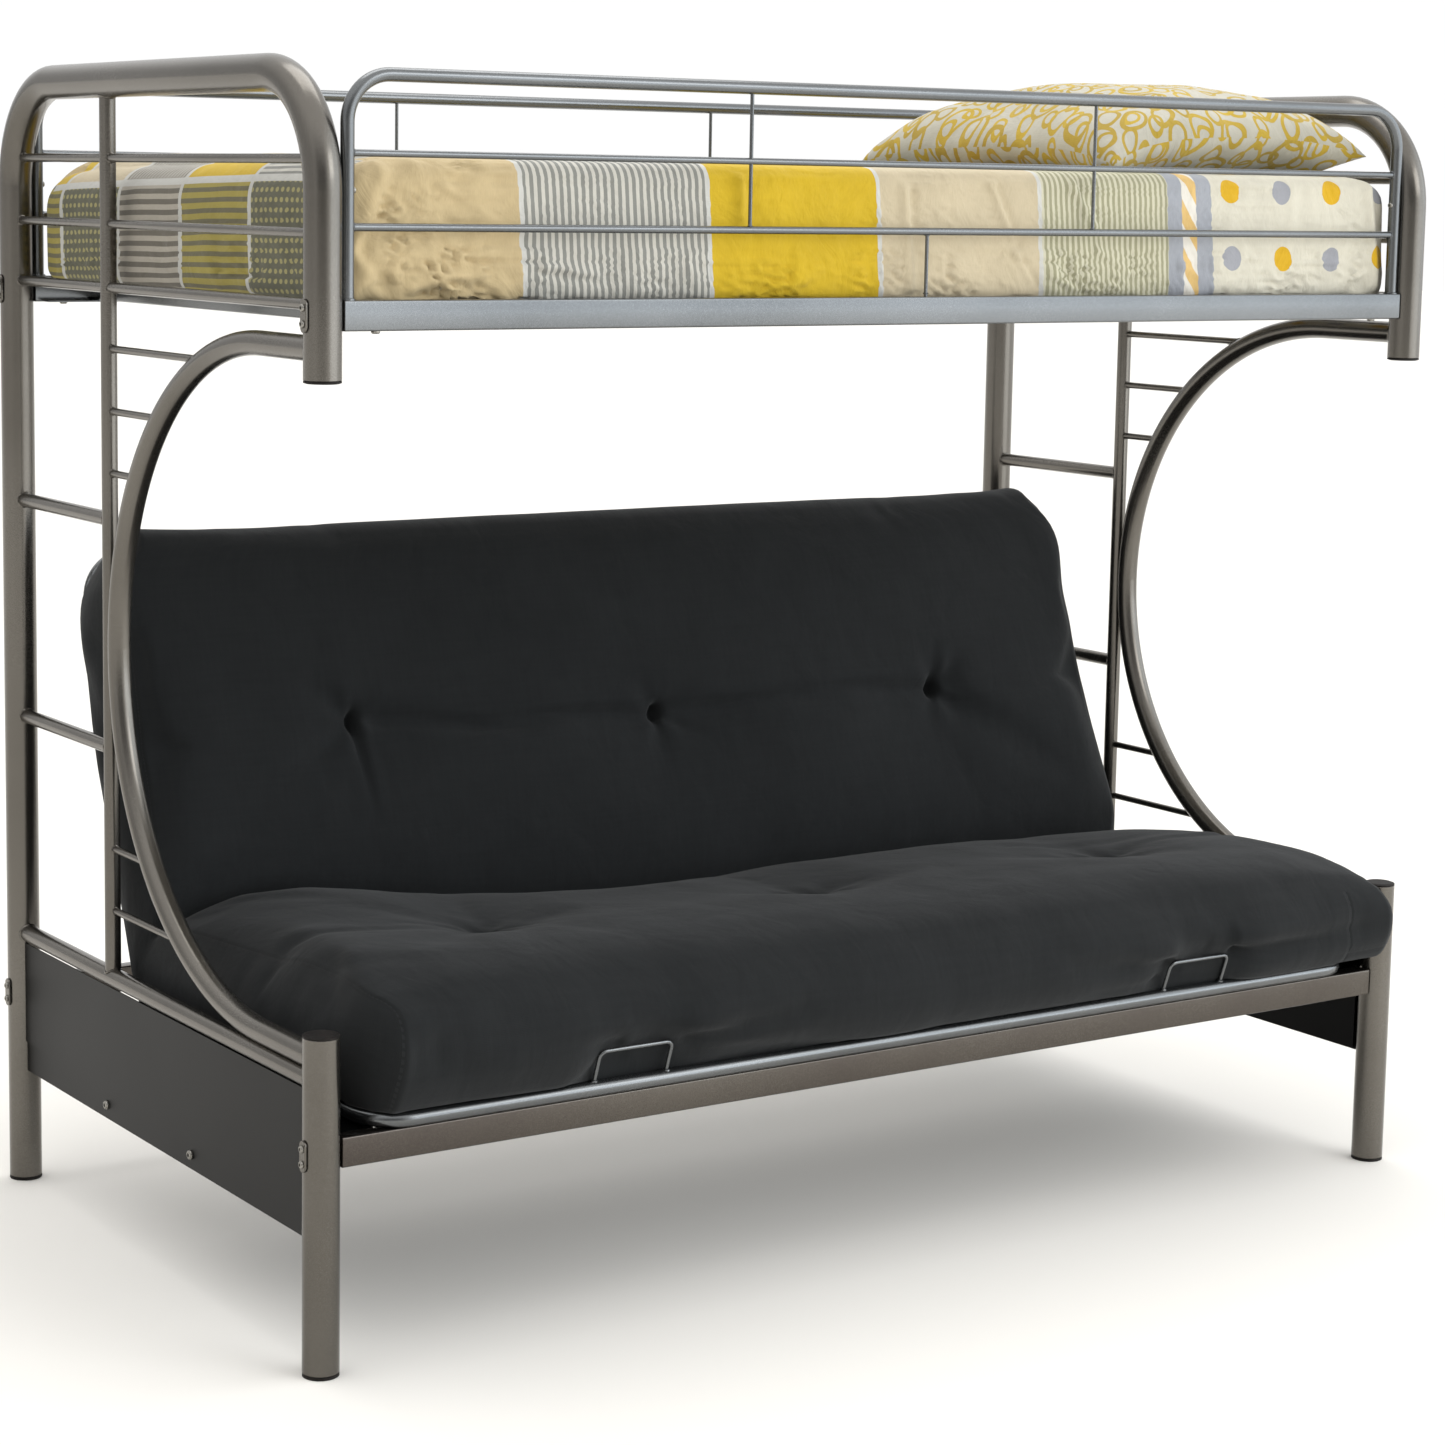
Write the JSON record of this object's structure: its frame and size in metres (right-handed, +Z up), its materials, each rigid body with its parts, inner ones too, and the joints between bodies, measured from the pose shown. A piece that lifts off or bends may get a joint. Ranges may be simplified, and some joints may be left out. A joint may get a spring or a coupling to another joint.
{
  "type": "bunk bed with sofa bed",
  "caption": "Steel bunk bed with C-shaped ends and end ladders, an upper bed with mattress and pillow, and a sofa bed below that slides out and folds flat.",
  "frame": {"origin": "on the floor, under the centre of the overall box", "axes": "+X along the bed to the right as seen by someone facing the sofa, +Y to the rear, +Z up"},
  "size_m": [2.0204, 1.1104, 1.755],
  "materials": {
    "silver_paint": "glossy metallic silver",
    "gunmetal_paint": "satin dark metallic",
    "zinc_steel": "plain zinc-plated steel",
    "black_plastic": "satin black",
    "charcoal_fabric": "woven charcoal cover",
    "patchwork_fabric": "cotton patchwork of plain, striped and dotted patches",
    "pillow_fabric": "cream cotton with yellow rings"
  },
  "bodies": {
    "frame": {"hoop_post_left": "silver_paint", "front_leg_left": "silver_paint", "arc_tube_left": "silver_paint", "ladder_left": "silver_paint", "end_bar_bottom_left": "silver_paint", "end_bar_middle_left": "silver_paint", "end_bar_top_left": "silver_paint", "panel_tube_left": "silver_paint", "hoop_post_right": "silver_paint", "front_leg_right": "silver_paint", "arc_tube_right": "silver_paint", "ladder_right": "silver_paint", "end_bar_bottom_right": "silver_paint", "end_bar_middle_right": "silver_paint", "end_bar_top_right": "silver_paint", "panel_tube_right": "silver_paint", "upper_rail_front": "silver_paint", "upper_rail_rear": "silver_paint", "sofa_beam_front": "silver_paint", "sofa_beam_rear": "silver_paint", "guard_frame_front": "silver_paint", "guard_frame_rear": "silver_paint", "guard_bars_front": "silver_paint", "guard_bars_rear": "silver_paint", "bed_slat_1": "silver_paint", "bed_slat_2": "silver_paint", "bed_slat_3": "silver_paint", "bed_slat_4": "silver_paint", "bed_slat_5": "silver_paint", "bed_slat_6": "silver_paint", "bed_slat_7": "silver_paint", "bed_slat_8": "silver_paint", "side_panel_left": "gunmetal_paint", "slide_rail_left": "gunmetal_paint", "side_panel_right": "gunmetal_paint", "slide_rail_right": "gunmetal_paint", "bolt_plate_upper_front_left": "zinc_steel", "bolt_plate_upper_rear_left": "zinc_steel", "bolt_plate_lower_front_left": "zinc_steel", "bolt_plate_lower_rear_left": "zinc_steel", "bolt_plate_upper_front_right": "zinc_steel", "bolt_plate_upper_rear_right": "zinc_steel", "bolt_plate_lower_front_right": "zinc_steel", "bolt_plate_lower_rear_right": "zinc_steel", "front_foot_left": "black_plastic", "rear_foot_left": "black_plastic", "leg_cap_left": "black_plastic", "upper_post_cap_left": "black_plastic", "front_foot_right": "black_plastic", "rear_foot_right": "black_plastic", "leg_cap_right": "black_plastic", "upper_post_cap_right": "black_plastic", "upper_mattress": "patchwork_fabric", "pillow": "pillow_fabric"},
    "seat": {"seat_deck": "silver_paint", "seat_pad": "charcoal_fabric"},
    "back": {"back_deck": "silver_paint", "back_pad": "charcoal_fabric", "hinge_pin_left": "zinc_steel", "hinge_pin_right": "zinc_steel"}
  },
  "joints": [
    {"name": "pull_out", "type": "slide", "parent": "frame", "child": "seat", "axis": [0, -1, 0], "range_m": [0, 0.38]},
    {"name": "back_recline", "type": "hinge", "parent": "seat", "child": "back", "pos_m": [0, 0.2028, 0.3383], "axis": [-1, 0, 0], "range_deg": [0, 69.5]}
  ],
  "couplings": [
    {"joint": "back_recline", "follows": "pull_out", "rad_per_m": 3.192}
  ]
}
